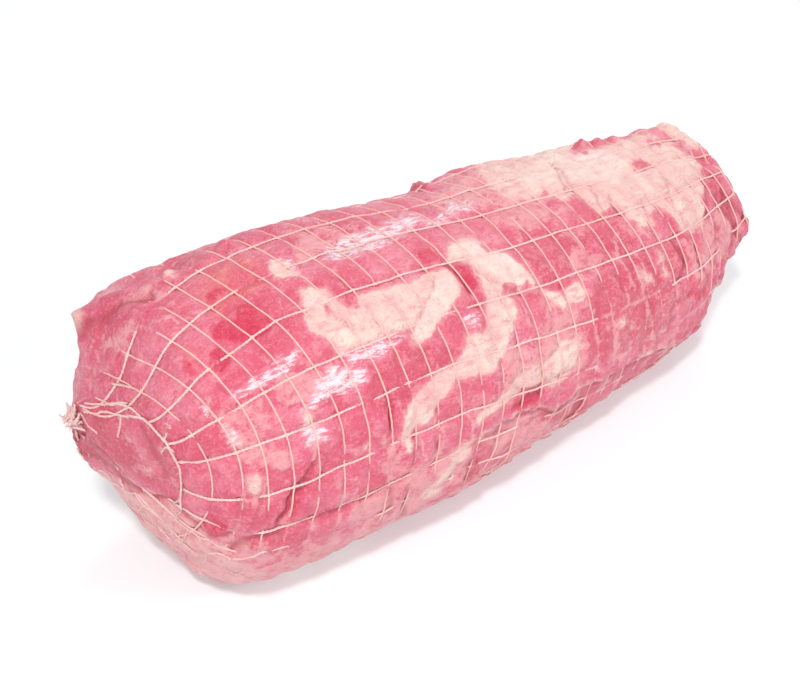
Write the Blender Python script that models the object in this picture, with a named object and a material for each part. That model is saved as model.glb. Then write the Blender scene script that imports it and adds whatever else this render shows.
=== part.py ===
"""Rolled veal roast in an elastic net, standing on its flattened underside.

X runs along the roll, with the end where the net is knotted at -X.
The front is at -Y and the resting surface is the plane z = 0.
Angles go round the roll: 0 at the front, 90 on top, 180 at the back, 270 underneath.
Lengths are in millimetres until the meshes are made.
"""
import bpy
import bmesh
import numpy as np

MM = 0.001
rng = np.random.default_rng(7)

# Cross sections of the roll: x, half width, top height, bottom height, sideways shift
STATIONS = np.array([
    [-171, 2, 91, 77, 32],
    [-168, 17, 93, 61, 24],
    [-158, 44, 113, 27, 12],
    [-139, 61, 134, 0, 8],
    [-90, 65, 138, -5, 3],
    [-41, 67, 130, -5, -1],
    [8, 65, 118, -5, -3],
    [57, 62, 111, -5, -3],
    [108, 56, 102, -4, -4],
    [141, 46, 96, 1, -4],
    [161, 38, 92, 12, -6],
    [171, 24, 79, 26, -7],
    [175, 2, 57, 53, -6]], float)
SQUARE = 2.25          # 2 is an ellipse, more is squarer
SOFT_EDGE = 1.5        # rounding where the side meets the flat underside
# Broad swells and hollows: place along, angle, height, reach along, reach round in degrees
SWELLS = [
    (0.190, 131, 3.6, 0.050, 18),
    (0.620, 131, 3.6, 0.050, 16),
    (0.897, 116, 3.4, 0.025, 12),
    (0.910, 58, -4.6, 0.060, 28),
    (0.882, -20, -7.0, 0.045, 20),
    (0.135, -67, 3.0, 0.022, 11)]

# Net: angles of the lengthwise threads that face the front, then evenly spaced ones
FRONT_THREADS = [108, 89, 69, 50, 33, 14, -3, -17]
BACK_THREADS = 11
RINGS = 31
OPEN_THREADS = (3, 4, 5, 6)   # these stop at the draw ring round the bare end face
THREAD_HALF = 1.1             # half width of a lengthwise thread
RING_HALF = 0.7               # half width of a ring thread
THREAD_TALL = 1.2             # height of a thread above its own flat back
GAP = 0.8                     # thread's back above the bottom of its furrow

# Meat between the threads
FURROW = 1.1                  # depth of the furrow under each thread
BULGE = 0.9                   # height of the meat in the middle of a mesh
BULGE_VARIES = 0.4
LIFT = 2.4                    # lowest height of a furrow underneath
PAD_U = (0.43, 0.57)          # stretch of the underside that is pressed flat
PAD_EXTRA = 1.4
# Lumps that stand out in the middle of a mesh: place along, angle, half sizes along, round and out
CRAGS = [
    (0.79, 126, 4.0, 6.5, 7.0),
    (0.82, 124, 4.0, 6.0, 6.0),
    (0.868, 122, 4.0, 5.5, 5.5),
    (0.885, 104, 3.2, 4.0, 4.5),
    (0.552, 129, 3.5, 5.0, 7.0)]
NEAR_COLLAR = 0.017
FAR_COLLAR = 0.978

# Flap of meat at the knotted end
EAR_U = 0.126
EAR_ANGLE = 128
EAR_TIP = np.array([-155.5, 53, 119.0])
EAR_WIDE = 5.0
EAR_THICK = 3.2

# Shift that puts the middle of the bounding box on the origin
SHIFT = np.array([-2.0, 0.0, 0.0])


def slopes(s, y):
    """Slopes of a smooth curve through the stations that never overshoots."""
    h = np.diff(s)[:, None]
    d = np.diff(y, axis=0) / h
    m = np.zeros_like(y)
    m[0], m[-1] = d[0], d[-1]
    w1 = 2 * h[1:] + h[:-1]
    w2 = h[1:] + 2 * h[:-1]
    a, b = d[:-1], d[1:]
    same = a * b > 0
    safe_a = np.where(same, a, 1)
    safe_b = np.where(same, b, 1)
    m[1:-1] = np.where(same, (w1 + w2) / (w1 / safe_a + w2 / safe_b), 0)
    return m


size = 0.5 * (STATIONS[:, 1] + 0.5 * (STATIONS[:, 2] - STATIONS[:, 3]))
PLACE = np.concatenate([[0], np.cumsum(np.hypot(np.diff(STATIONS[:, 0]), np.diff(size)))])
PLACE = PLACE / PLACE[-1]
SLOPE = slopes(PLACE, STATIONS)


def section(u):
    """x, half width, top, bottom and shift at u, from 0 to 1 along the roll."""
    i = np.clip(np.searchsorted(PLACE, u, side="right") - 1, 0, len(PLACE) - 2)
    h = (PLACE[i + 1] - PLACE[i])[..., None]
    t = ((u - PLACE[i])[..., None]) / h
    a, b = STATIONS[i], STATIONS[i + 1]
    return (a * (1 + 2 * t) * (1 - t) ** 2 + h * SLOPE[i] * t * (1 - t) ** 2
            + b * t ** 2 * (3 - 2 * t) + h * SLOPE[i + 1] * t ** 2 * (t - 1))


def swell(u, angle):
    """Height of the broad swells and hollows at a place on the roll."""
    rise = np.zeros(np.shape(u))
    for place, middle, height, reach_along, reach_round in SWELLS:
        along = (u - place) / reach_along
        round_it = ((angle - middle + 180) % 360 - 180) / reach_round
        rise = rise + height * np.exp(-along ** 2 - round_it ** 2)
    return rise


def surface(u, angle):
    """Point of the roll, without furrows, at u along it and an angle round it."""
    u, angle = np.broadcast_arrays(np.asarray(u, float), np.asarray(angle, float))
    x, w, top, bottom, yc = np.moveaxis(section(u), -1, 0)
    c, s = np.cos(np.radians(angle)), np.sin(np.radians(angle))
    r = (np.abs(c) ** SQUARE + np.abs(s) ** SQUARE) ** (-1 / SQUARE)
    rise = swell(u, angle)
    z = (top + bottom) / 2 + ((top - bottom) / 2 * r + rise) * s
    z = SOFT_EDGE * np.logaddexp(0, z / SOFT_EDGE)
    return np.stack([x, yc - (w * r + rise) * c, z], -1)


def unit(v):
    return v / np.linalg.norm(v, axis=-1, keepdims=True)


def tangents(u, angle):
    """Unit vectors along the roll and round it."""
    along = surface(np.clip(u + 0.004, 0, 1), angle) - surface(np.clip(u - 0.004, 0, 1), angle)
    around = surface(u, angle + 1.5) - surface(u, angle - 1.5)
    return unit(along), unit(around)


def normal(u, angle):
    along, around = tangents(u, angle)
    return unit(np.cross(along, around))


gap_angle = (360 - (FRONT_THREADS[0] - FRONT_THREADS[-1])) / (BACK_THREADS + 1)
THREADS = np.array(FRONT_THREADS + [FRONT_THREADS[-1] - gap_angle * (i + 1) for i in range(BACK_THREADS)], float)
N = len(THREADS)


def thread_angle(j, u):
    """Angle of lengthwise thread j at u. The threads drift as the roll narrows."""
    a = THREADS[j % N] - 360 * (j // N)
    base = THREADS[j % N]
    off = np.clip((base - 33 + 180) % 360 - 180, 0, 150)
    pull = np.interp(u, [0, 0.1, 0.15, 0.2, 0.25], [20, 16, 10.5, 5, 0]) * np.sin(np.radians(1.2 * off))
    low = np.clip(50 - base, 0, 180)
    sag = np.interp(u, [0.4, 0.6], [0, 13]) * np.sin(np.radians(low))
    drift = np.interp(u, [0, 0.2, 0.3, 0.4, 0.5, 0.68, 0.9, 1], [0, -1, -2, 1, 1, -5, -9, -9])
    return a - pull - sag + drift


def ring_place(k, angle):
    """Place along the roll of ring thread k. The first rings bow away from the knot."""
    base = 0.050 + 0.0302 * k - 0.000155 * max(0, k - 12) ** 2
    bow = 0.046 * np.exp(-(k / 9) ** 2) * np.exp(-(((angle - 33 + 180) % 360 - 180) / 50) ** 2)
    tilt = 0.018 * np.exp(-((k - 15) / 4.5) ** 2) * np.sin(np.radians(angle - 20))
    return base + bow + tilt


def row_place(row, angle):
    """Place of a grid row: rings are whole numbers, -2 and -1 lie inside the draw ring."""
    if row == "far":
        return np.full(np.shape(angle), FAR_COLLAR)
    if row == "near":
        return np.full(np.shape(angle), NEAR_COLLAR)
    if row == "mid":
        return 0.5 * (NEAR_COLLAR + ring_place(0, angle))
    if row == "last":
        return 0.5 * (FAR_COLLAR + ring_place(RINGS - 1, angle))
    return 0.5 * (ring_place(np.floor(row), angle) + ring_place(np.ceil(row), angle))


def grid_point(row, col):
    """u and angle of a grid row at a column. Even columns are threads."""
    angle = 0.5 * (THREADS[(col // 2) % N] + THREADS[((col + 1) // 2) % N])
    for _ in range(12):
        u = float(row_place(row, angle))
        a = float(thread_angle(col // 2, u))
        b = float(thread_angle((col + 1) // 2, u))
        angle = 0.5 * (a + b)
    return u, angle


ROWS = ["near", "mid"]
for k in range(RINGS):
    ROWS += [float(k), k + 0.5]
ROWS[-1] = "last"
ROWS.append("far")
COLS = 2 * N
FIRST_RING = 2
FAR_ROW = len(ROWS) - 1

U = np.zeros((len(ROWS), COLS))
A = np.zeros((len(ROWS), COLS))
for i, row in enumerate(ROWS):
    for c in range(COLS):
        U[i, c], A[i, c] = grid_point(row, c)
SKIN = surface(U, A)
OUT = normal(U, A)
ALONG, AROUND = tangents(U, A)


def is_ring(i):
    return i >= FIRST_RING and i < FAR_ROW and (i - FIRST_RING) % 2 == 0


def holds_threads(i):
    """True for the rows where the lengthwise threads bend."""
    return is_ring(i) or i < FIRST_RING or i >= FAR_ROW - 1


def open_cell(i, c):
    """True inside the draw ring, where the end face is bare."""
    return i < FIRST_RING and 2 * OPEN_THREADS[0] - 2 < c < 2 * OPEN_THREADS[-1] + 2


def meat_points():
    """Grid of the meat: pressed in under every thread and bulging between them."""
    P = SKIN.copy()
    crossing = np.zeros(P.shape[:2], bool)
    for i in range(len(ROWS)):
        for c in range(COLS):
            if i == 0 or i == FAR_ROW:
                P[i, c] = SKIN[i, c] - (FURROW + 0.4) * OUT[i, c]
                crossing[i, c] = True
            elif c % 2 == 0 and not open_cell(i, c) and holds_threads(i):
                P[i, c] = SKIN[i, c] - FURROW * OUT[i, c]
                P[i, c, 2] = max(P[i, c, 2], LIFT)
                crossing[i, c] = True
    for i in range(1, len(ROWS) - 1):
        for c in range(COLS):
            if crossing[i, c]:
                continue
            a, b = (c - 1) % COLS, (c + 1) % COLS
            if is_ring(i) and c % 2 == 1 and not (i == FIRST_RING and not ring_bar(0, c // 2)):
                P[i, c] = 0.5 * (P[i, a] + P[i, b])
            elif i > FIRST_RING and c % 2 == 0:
                P[i, c] = 0.5 * (P[i - 1, c] + P[i + 1, c])
            else:
                wide = np.linalg.norm(SKIN[i, a] - SKIN[i, b]) / 2
                rise = (BULGE + BULGE_VARIES * rng.uniform(-1, 1)) * np.clip((wide - 2) / 7, 0, 1)
                if i <= FIRST_RING:
                    rise = 0.4 * rise
                underneath = OUT[i, c, 2] < -0.9 and PAD_U[0] < U[i, c] < PAD_U[1]
                if underneath:
                    rise = BULGE + PAD_EXTRA
                P[i, c] = SKIN[i, c] + rise * OUT[i, c]
                if not underneath:
                    P[i, c, 2] = max(P[i, c, 2], 0.0)
    return P


def ring_bar(k, j):
    """True where ring k has a thread between lengthwise threads j and j + 1."""
    if k > 0:
        return True
    return OPEN_THREADS[0] - 1 <= j % N <= OPEN_THREADS[-1]


def finish(name, bm, colour, roughness):
    """Turn a bmesh in millimetres into a named object with its own material."""
    for v in bm.verts:
        v.co.x = (v.co.x + SHIFT[0]) * MM
        v.co.y = (v.co.y + SHIFT[1]) * MM
        v.co.z = (v.co.z + SHIFT[2]) * MM
    bmesh.ops.recalc_face_normals(bm, faces=bm.faces)
    mesh = bpy.data.meshes.new(name)
    bm.to_mesh(mesh)
    bm.free()
    for poly in mesh.polygons:
        poly.use_smooth = True
    obj = bpy.data.objects.new(name, mesh)
    bpy.context.scene.collection.objects.link(obj)
    mat = bpy.data.materials.new(name)
    mat.use_nodes = True
    shader = mat.node_tree.nodes["Principled BSDF"]
    shader.inputs["Base Color"].default_value = (*colour, 1)
    shader.inputs["Roughness"].default_value = roughness
    mesh.materials.append(mat)
    return obj


def add_ear(bm):
    """Closed flap from inside the roll to its tip, flat in section."""
    root = surface(np.array(EAR_U), np.array(EAR_ANGLE))
    out = normal(np.array(EAR_U), np.array(EAR_ANGLE))
    along, around = tangents(np.array(EAR_U), np.array(EAR_ANGLE))
    start = root - 7 * out
    rings = []
    for t, size in ((0, 0.8), (0.45, 0.85), (0.65, 0.95), (0.85, 0.6), (1, 0.18)):
        centre = start + (EAR_TIP - start) * t
        ring = []
        for n in range(8):
            a = 2 * np.pi * n / 8
            p = centre + size * (EAR_WIDE * np.cos(a) * around + EAR_THICK * np.sin(a) * along)
            ring.append(bm.verts.new(p))
        rings.append(ring)
    for low, high in zip(rings, rings[1:]):
        for n in range(8):
            m = (n + 1) % 8
            bm.faces.new((low[n], low[m], high[m], high[n]))
    bm.faces.new(rings[0][::-1])
    bm.faces.new(rings[-1])


def add_crags(bm):
    """Lumps of meat in the middle of the meshes nearest to their stated places."""
    for u, angle, half_along, half_around, half_out in CRAGS:
        gap = np.hypot((U - u) * 400, ((A - angle + 180) % 360 - 180) * 1.1)
        gap[FIRST_RING::2, :] = 999
        gap[:, ::2] = 999
        i, c = np.unravel_index(gap.argmin(), gap.shape)
        ball = bmesh.ops.create_uvsphere(bm, u_segments=8, v_segments=5, radius=1)
        for v in ball["verts"]:
            k = np.array(v.co)
            p = k[0] * half_along * ALONG[i, c] + k[1] * half_around * AROUND[i, c] + k[2] * half_out * OUT[i, c]
            v.co = SKIN[i, c] + p


def make_meat():
    P = meat_points()
    bm = bmesh.new()
    grid = [[bm.verts.new(P[i, c]) for c in range(COLS)] for i in range(len(ROWS))]
    near = surface(np.array(0.0), np.array(0.0)) * 0.5 + surface(np.array(0.0), np.array(180.0)) * 0.5
    far = surface(np.array(1.0), np.array(0.0)) * 0.5 + surface(np.array(1.0), np.array(180.0)) * 0.5
    first = bm.verts.new(near + np.array([FURROW + 0.4, 0, 0]))
    last = bm.verts.new(far - np.array([FURROW + 0.4, 0, 0]))
    for c in range(COLS):
        d = (c + 1) % COLS
        bm.faces.new((first, grid[0][c], grid[0][d]))
        bm.faces.new((last, grid[-1][d], grid[-1][c]))
        for i in range(len(ROWS) - 1):
            a, b, e, f = grid[i][c], grid[i][d], grid[i + 1][d], grid[i + 1][c]
            ring_near = is_ring(i) or i < FIRST_RING
            # The diagonal runs from a crossing of threads to the middle of the mesh
            if ring_near == (c % 2 == 0):
                bm.faces.new((a, b, e))
                bm.faces.new((a, e, f))
            else:
                bm.faces.new((a, b, f))
                bm.faces.new((b, e, f))
    # Cut the underside flat where the roast rests
    geom = bm.verts[:] + bm.edges[:] + bm.faces[:]
    cut = bmesh.ops.bisect_plane(bm, geom=geom, plane_co=(0, 0, 0), plane_no=(0, 0, -1), clear_outer=True)
    edges = [g for g in cut["geom_cut"] if isinstance(g, bmesh.types.BMEdge)]
    bmesh.ops.holes_fill(bm, edges=edges, sides=0)
    bmesh.ops.triangulate(bm, faces=bm.faces)
    return finish("meat", bm, (0.80, 0.22, 0.28), 0.35), P


class Lattice:
    """Closed net of ridge-shaped threads, built from its crossings."""

    def __init__(self):
        self.bm = bmesh.new()
        self.node = {}
        self.bars = set()

    def crossing(self, key, point, out, along, around, half_along, half_around):
        base = point + GAP * out
        corners = []
        for sa, sr in ((-1, -1), (1, -1), (1, 1), (-1, 1)):
            corners.append(self.bm.verts.new(base + sa * half_along * along + sr * half_around * around))
        apex = self.bm.verts.new(base + THREAD_TALL * out)
        self.node[key] = (corners, apex)
        self.bm.faces.new(corners)

    def lengthwise(self, low, high):
        (_, b, c, _), top = self.node[low]
        (a, _, _, d), high_top = self.node[high]
        self.bm.faces.new((b, a, d, c))
        self.bm.faces.new((b, top, high_top, a))
        self.bm.faces.new((c, d, high_top, top))
        self.bars.add((low, "up"))
        self.bars.add((high, "down"))

    def round(self, left, right, inner=True):
        """Ring thread from the +angle side of left to the -angle side of right."""
        (_, _, c, d), top = self.node[left]
        (a, b, _, _), right_top = self.node[right]
        self.bm.faces.new((c, d, a, b))
        self.bm.faces.new((c, b, right_top, top))
        if inner:
            self.bm.faces.new((d, top, right_top, a))
        self.bars.add((left, "plus"))
        self.bars.add((right, "minus"))

    def close_ends(self):
        sides = {"down": (0, 3), "up": (1, 2), "minus": (0, 1), "plus": (2, 3)}
        for key, (corners, apex) in self.node.items():
            for side, (p, q) in sides.items():
                if (key, side) not in self.bars:
                    self.bm.faces.new((corners[p], corners[q], apex))

    def knot(self, keys, corner_pair, centre, out, radii):
        """Gathered bundle that closes the collar: keys run round it in order."""
        first, second = corner_pair
        base = self.bm.verts.new(centre + GAP * out)
        tops = []
        count = len(keys)
        for n, key in enumerate(keys):
            corners, apex = self.node[key]
            after, _ = self.node[keys[(n + 1) % count]]
            self.bm.faces.new((base, corners[first], corners[second]))
            self.bm.faces.new((base, corners[second], after[first]))
            tops.append(apex)
            self.bars.add((key, "down" if first in (0, 3) and second in (0, 3) else "up"))
        middle = np.mean([np.array(v.co) for v in tops], axis=0)
        row = tops
        for radius, height in radii:
            ring = []
            for n, v in enumerate(tops):
                d = np.array(v.co) - middle
                d = d - np.dot(d, out) * out
                wave = 1 + 0.12 * np.sin(n * 2.4)
                ring.append(self.bm.verts.new(centre + unit(d) * radius * wave + height * out))
            for n in range(count):
                m = (n + 1) % count
                self.bm.faces.new((row[n], row[m], ring[m], ring[n]))
            row = ring
        tip = self.bm.verts.new(centre + (radii[-1][1] + 0.6) * out)
        for n in range(count):
            self.bm.faces.new((row[n], row[(n + 1) % count], tip))


def make_net(P):
    net = Lattice()
    for i in range(len(ROWS)):
        if not holds_threads(i):
            continue
        for j in range(N):
            c = 2 * j
            if open_cell(i, c) or (i == 0 and j in OPEN_THREADS):
                continue
            net.crossing((i, j), P[i, c], OUT[i, c], ALONG[i, c], AROUND[i, c], RING_HALF, THREAD_HALF)
    levels = [i for i in range(len(ROWS)) if holds_threads(i)]
    for low, high in zip(levels, levels[1:]):
        for j in range(N):
            if (low, j) in net.node and (high, j) in net.node:
                net.lengthwise((low, j), (high, j))
    # Angles fall as the thread number rises, so the next thread is on the minus side
    for k in range(RINGS):
        i = FIRST_RING + 2 * k
        for j in range(N):
            if ring_bar(k, j):
                net.round((i, (j + 1) % N), (i, j))
    closed = [j for j in range(N) if (0, j) in net.node]
    for n, j in enumerate(closed):
        net.round((0, closed[(n + 1) % len(closed)]), (0, j), inner=False)
    for j in range(N):
        right, left = (FAR_ROW, j), (FAR_ROW, (j + 1) % N)
        (_, _, c, d), top = net.node[left]
        (a, b, _, _), right_top = net.node[right]
        net.bm.faces.new((c, d, a, b))
        net.bm.faces.new((d, top, right_top, a))
        net.bars.add((left, "plus"))
        net.bars.add((right, "minus"))
    near = surface(np.array(0.0), np.array(0.0)) * 0.5 + surface(np.array(0.0), np.array(180.0)) * 0.5
    far = surface(np.array(1.0), np.array(0.0)) * 0.5 + surface(np.array(1.0), np.array(180.0)) * 0.5
    west, east = np.array([-1.0, 0, 0]), np.array([1.0, 0, 0])
    near_keys = [(0, j) for j in closed]
    far_keys = [(FAR_ROW, j) for j in range(N)]
    net.knot(near_keys, (3, 0), near - (FURROW + 0.4) * west, west, ((5.5, 3.2), (4.5, 5.5), (5.2, 8.0)))
    net.knot(far_keys, (2, 1), far - (FURROW + 0.4) * east, east, ((5.5, 3.2), (4.0, 5.5), (4.6, 8.0)))
    net.close_ends()
    return finish("netting", net.bm, (0.92, 0.78, 0.74), 0.7)


for obj in list(bpy.data.objects):
    bpy.data.objects.remove(obj, do_unlink=True)
meat, points = make_meat()
net = make_net(points)

# Join the flap and the lumps to the roll
extra = bmesh.new()
add_ear(extra)
add_crags(extra)
lumps = finish("flap and lumps", extra, (0.8, 0.3, 0.35), 0.4)
lumps.hide_render = True
lumps.display_type = "WIRE"
join = meat.modifiers.new("flap and lumps", "BOOLEAN")
join.operation = "UNION"
join.solver = "EXACT"
join.object = lumps
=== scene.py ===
import math
import bpy
import numpy as np
from mathutils import Matrix, Vector, noise


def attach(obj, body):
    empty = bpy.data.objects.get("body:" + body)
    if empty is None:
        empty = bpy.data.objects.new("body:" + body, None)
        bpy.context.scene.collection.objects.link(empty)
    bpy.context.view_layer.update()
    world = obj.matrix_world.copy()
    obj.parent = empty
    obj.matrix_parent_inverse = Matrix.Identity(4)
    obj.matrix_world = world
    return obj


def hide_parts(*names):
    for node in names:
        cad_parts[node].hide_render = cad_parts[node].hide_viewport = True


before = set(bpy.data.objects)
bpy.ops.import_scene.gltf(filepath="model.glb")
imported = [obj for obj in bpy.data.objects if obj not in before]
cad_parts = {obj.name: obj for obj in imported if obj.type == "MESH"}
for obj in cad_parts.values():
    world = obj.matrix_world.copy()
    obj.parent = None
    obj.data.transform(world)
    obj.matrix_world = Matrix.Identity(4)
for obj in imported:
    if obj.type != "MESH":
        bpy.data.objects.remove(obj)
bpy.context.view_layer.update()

MM = 0.001
rng = np.random.default_rng(11)

# The roll, as in the CAD model, in millimetres
STATIONS = np.array([
    [-171, 2, 91, 77, 32],
    [-168, 17, 93, 61, 24],
    [-158, 44, 113, 27, 12],
    [-139, 61, 134, 0, 8],
    [-90, 65, 138, -5, 3],
    [-41, 67, 130, -5, -1],
    [8, 65, 118, -5, -3],
    [57, 62, 111, -5, -3],
    [108, 56, 102, -4, -4],
    [141, 46, 96, 1, -4],
    [161, 38, 92, 12, -6],
    [171, 24, 79, 26, -7],
    [175, 2, 57, 53, -6]], float)
SHIFT = np.array([-2.0, 0.0, 0.0])
SQUARE = 2.25               # 2 is an ellipse, more is squarer
SOFT_EDGE = 1.5             # rounding where the side meets the flat underside
# Broad swells and hollows: place along, angle, height, reach along, reach round in degrees
SWELLS = [
    (0.190, 131, 3.6, 0.050, 18),
    (0.620, 131, 3.6, 0.050, 16),
    (0.897, 116, 3.4, 0.025, 12),
    (0.910, 58, -4.6, 0.060, 28),
    (0.882, -20, -7.0, 0.045, 20),
    (0.135, -67, 3.0, 0.022, 11)]
# Net: angles of the lengthwise threads that face the front, then evenly spaced ones
FRONT_THREADS = [108, 89, 69, 50, 33, 14, -3, -17]
BACK_THREADS = 11
RINGS = 31
OPEN_THREADS = (2, 3, 4, 5, 6)   # these stop at the draw ring round the bare end face
THREAD_START, THREAD_END = 0.0102, 0.985
THREAD_STEP, RING_STEPS = 1.12, 280
THREAD_HALF, RING_HALF = 0.50, 0.40
PLY_TURN = 3.4              # length of one twist of the two plies
HAIR_HALF = (0.085, 0.065, 0.02)
KNOT_LOOPS, KNOT_ENDS = 15, 5
KNOT_LIMITS = (-177.6, 181.6)   # how far the frayed ends reach along the roll
# Flap of meat at the knotted end, and its ridge: place, angle and strength of the pull
EAR_U, EAR_ANGLE = 0.126, 128
EAR_TIP = np.array([-155.5, 53, 119.0])
EAR_REACH, EAR_PULL = 17.0, 0.90
EAR_RIDGE = np.array([[0.125, 131, 1.0], [0.14, 131, 0.30], [0.16, 130, 0.08]])
# Uneven meat: size in millimetres, seed and octaves
BROAD, UNEVEN = (38, 3.1, 2), (11, 7.7, 3)
HIDDEN_PATCHES = 18         # of fat
POLE_GAP = 0.004            # the meat's first row, before the pole
ARC = 1.1                   # millimetres a degree round the roll, about
FAR = 14.0                  # depths in the fat and the other patches end here, in millimetres

# Camera of the photograph: angles in degrees, lengths in millimetres, picture sizes in pixels
ELEVATION, TURN, DISTANCE = 42.0, 40.0, 750.0
FOCAL = 1540.0
SIDE_SHIFT, UP_SHIFT = 19.3, -32.5
PICTURE = (800, 699)
SENSOR = 36.0
e, f = math.radians(ELEVATION), math.radians(TURN)
BACK = np.array([-math.sin(f) * math.cos(e), -math.cos(f) * math.cos(e), math.sin(e)])
RIGHT = np.array([math.cos(f), -math.sin(f), 0])
UP = np.cross(BACK, RIGHT)
EYE = DISTANCE * BACK - SIDE_SHIFT * RIGHT - UP_SHIFT * UP
PX = FOCAL / DISTANCE       # pixels a millimetre, about

# Colours, as linear red, green and blue
LEAN_DEEP = (0.72, 0.088, 0.162)
LEAN_MID = (0.80, 0.175, 0.262)
LEAN_LIGHT = (0.86, 0.300, 0.375)
PLUM = (0.65, 0.080, 0.125)
BLOOD = (0.68, 0.020, 0.075)
RUST = (0.80, 0.190, 0.130)
VEIL_TONE = (0.86, 0.390, 0.410)
PALE_TONE = (0.90, 0.500, 0.490)
# Painted shade colour of the creases and of the foot of the ragged edge
CREASE_SHADE_TONE = (0.50, 0.050, 0.085)
FAT_PINK = (0.88, 0.540, 0.500)
FAT_CREAM = (0.915, 0.730, 0.620)
FAT_WHITE = (0.93, 0.715, 0.660)
# Painted highlight colour of the glints on the wet places
PAINTED_GLINT = (0.97, 0.880, 0.940)
THREAD_PALE = (0.91, 0.570, 0.540)
THREAD_WHITE = (0.93, 0.680, 0.660)
THREAD_SHADE = (0.78, 0.280, 0.300)
RING_TONE = (0.90, 0.530, 0.450)

# Lights, in watts, and the brightness of the sky and the floor
KEY_POWER, BACK_POWER, SIDE_POWER, LEFT_POWER = 13.5, 5.0, 4.5, 2.4
SKY = 0.52
FLOOR_GLOW = 0.22
LIGHT_AIM = 0.07            # height that the lights point at, in metres


def turn(a):
    return (a + 180) % 360 - 180


def bell(x):
    return np.exp(-x ** 2)


def clamp(x):
    return np.clip(x, 0, 1)


def slopes(s, y):
    """Slopes of a smooth curve through the stations that never overshoots."""
    h = np.diff(s)[:, None]
    d = np.diff(y, axis=0) / h
    m = np.zeros_like(y)
    m[0], m[-1] = d[0], d[-1]
    w1 = 2 * h[1:] + h[:-1]
    w2 = h[1:] + 2 * h[:-1]
    a, b = d[:-1], d[1:]
    same = a * b > 0
    m[1:-1] = np.where(same, (w1 + w2) / (w1 / np.where(same, a, 1) + w2 / np.where(same, b, 1)), 0)
    return m


size = 0.5 * (STATIONS[:, 1] + 0.5 * (STATIONS[:, 2] - STATIONS[:, 3]))
PLACE = np.concatenate([[0], np.cumsum(np.hypot(np.diff(STATIONS[:, 0]), np.diff(size)))])
LONG = PLACE[-1]
PLACE = PLACE / LONG
SLOPE = slopes(PLACE, STATIONS)


def surface(u, angle):
    """Point of the roll, without furrows, at u along it and an angle round it."""
    u, angle = np.broadcast_arrays(np.asarray(u, float), np.asarray(angle, float))
    i = np.clip(np.searchsorted(PLACE, u, side="right") - 1, 0, len(PLACE) - 2)
    h = (PLACE[i + 1] - PLACE[i])[..., None]
    t = ((u - PLACE[i])[..., None]) / h
    v = (STATIONS[i] * (1 + 2 * t) * (1 - t) ** 2 + h * SLOPE[i] * t * (1 - t) ** 2
         + STATIONS[i + 1] * t ** 2 * (3 - 2 * t) + h * SLOPE[i + 1] * t ** 2 * (t - 1))
    x, w, top, bottom, yc = np.moveaxis(v, -1, 0)
    c, s = np.cos(np.radians(angle)), np.sin(np.radians(angle))
    r = (np.abs(c) ** SQUARE + np.abs(s) ** SQUARE) ** (-1 / SQUARE)
    rise = np.zeros(np.shape(u))
    for place, middle, height, reach_along, reach_round in SWELLS:
        away = ((u - place) / reach_along) ** 2 + (turn(angle - middle) / reach_round) ** 2
        rise = rise + height * np.exp(-away)
    z = (top + bottom) / 2 + ((top - bottom) / 2 * r + rise) * s
    z = SOFT_EDGE * np.logaddexp(0, z / SOFT_EDGE)
    return np.stack([x, yc - (w * r + rise) * c, z], -1)


def unit(v):
    return v / np.maximum(np.linalg.norm(v, axis=-1, keepdims=True), 1e-9)


def frames(u, angle):
    """Unit vectors along the roll, round it and out of it."""
    along = unit(surface(clamp(u + 0.004), angle) - surface(clamp(u - 0.004), angle))
    around = unit(surface(u, angle + 1.5) - surface(u, angle - 1.5))
    return along, around, unit(np.cross(along, around))


gap_angle = (360 - (FRONT_THREADS[0] - FRONT_THREADS[-1])) / (BACK_THREADS + 1)
rear_threads = [FRONT_THREADS[-1] - gap_angle * (i + 1) for i in range(BACK_THREADS)]
THREADS = np.array(FRONT_THREADS + rear_threads, float)
N = len(THREADS)


def thread_angle(j, u):
    """Angle of lengthwise thread j at u."""
    base = THREADS[j]
    off = np.clip(turn(base - 33), 0, 150)
    pull = np.interp(u, [0, 0.1, 0.15, 0.2, 0.25], [20, 16, 10.5, 5, 0]) * np.sin(np.radians(1.2 * off))
    low = np.clip(50 - base, 0, 180)
    sag = np.interp(u, [0.4, 0.6], [0, 13]) * np.sin(np.radians(low))
    drift = np.interp(u, [0, 0.2, 0.3, 0.4, 0.5, 0.68, 0.9, 1], [0, -1, -2, 1, 1, -5, -9, -9])
    return base - pull - sag + drift


def ring_place(k, angle):
    """Place along the roll of ring thread k. The first rings bow away from the knot."""
    base = 0.050 + 0.0302 * k - 0.000155 * np.maximum(0, k - 12) ** 2
    bow = 0.046 * bell(k / 9) * bell(turn(angle - 33) / 50)
    tilt = 0.018 * bell((k - 15) / 4.5) * np.sin(np.radians(angle - 20))
    return base + bow + tilt


def clouds(P, scale, seed=0.0, octaves=2):
    """Smooth noise from about -1 to 1 at each point, scale in millimetres."""
    flat = P.reshape(-1, 3) / scale + seed
    out = np.fromiter((noise.fractal(Vector(p), 1.0, 2.0, octaves) for p in flat), float, len(flat))
    return out.reshape(P.shape[:-1])


def picture(P):
    """Where points in millimetres fall in the photograph, in pixels."""
    depth = DISTANCE - P @ BACK
    x = PICTURE[0] / 2 + FOCAL * (P @ RIGHT + SIDE_SHIFT) / depth
    y = PICTURE[1] / 2 - FOCAL * (P @ UP + UP_SHIFT) / depth
    return x, y


def line_distance(X, Y, line, closed=False):
    """Pixels from each place to a line through x, y, x, y and so on."""
    q = np.array(line, float).reshape(-1, 2)
    p = np.stack([X, Y], -1)
    pairs = zip(q, np.roll(q, -1, axis=0)) if closed else zip(q[:-1], q[1:])
    best = np.full(X.shape, 1e9)
    for a, b in pairs:
        e = b - a
        w = p - a
        t = clamp((w @ e) / (e @ e))
        best = np.minimum(best, np.hypot(w[..., 0] - t * e[0], w[..., 1] - t * e[1]))
    return best


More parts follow.
